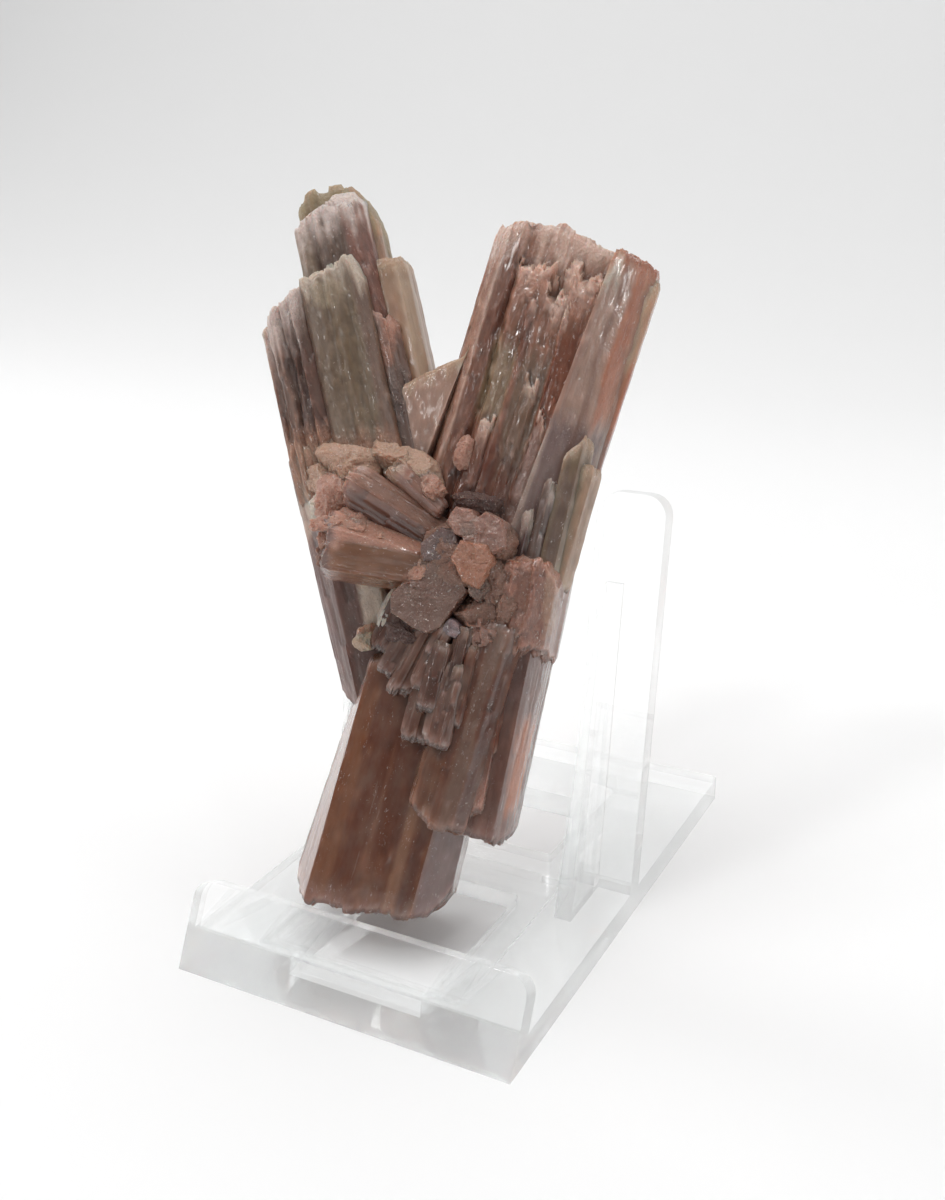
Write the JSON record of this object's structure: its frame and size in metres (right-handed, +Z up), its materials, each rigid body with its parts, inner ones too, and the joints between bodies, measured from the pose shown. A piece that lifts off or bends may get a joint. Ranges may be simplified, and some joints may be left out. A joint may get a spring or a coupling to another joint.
{
  "type": "twinned aragonite crystal group on display stand",
  "caption": "Crossed, striated aragonite prisms grown together in a V, with end-on crystals at the crossing, leaning on a clear moulded easel stand.",
  "frame": {"origin": "centre of the stand's base underside", "axes": "+Z up, front lip towards -Y, +X to the right seen from the front"},
  "size_m": [0.0495, 0.0656, 0.0808],
  "materials": {
    "clear_plastic": "clear, glossy",
    "aragonite": "translucent brown crystal, striated"
  },
  "bodies": {
    "root": {"display_stand": "clear_plastic", "aragonite_group": "aragonite"}
  },
  "joints": []
}
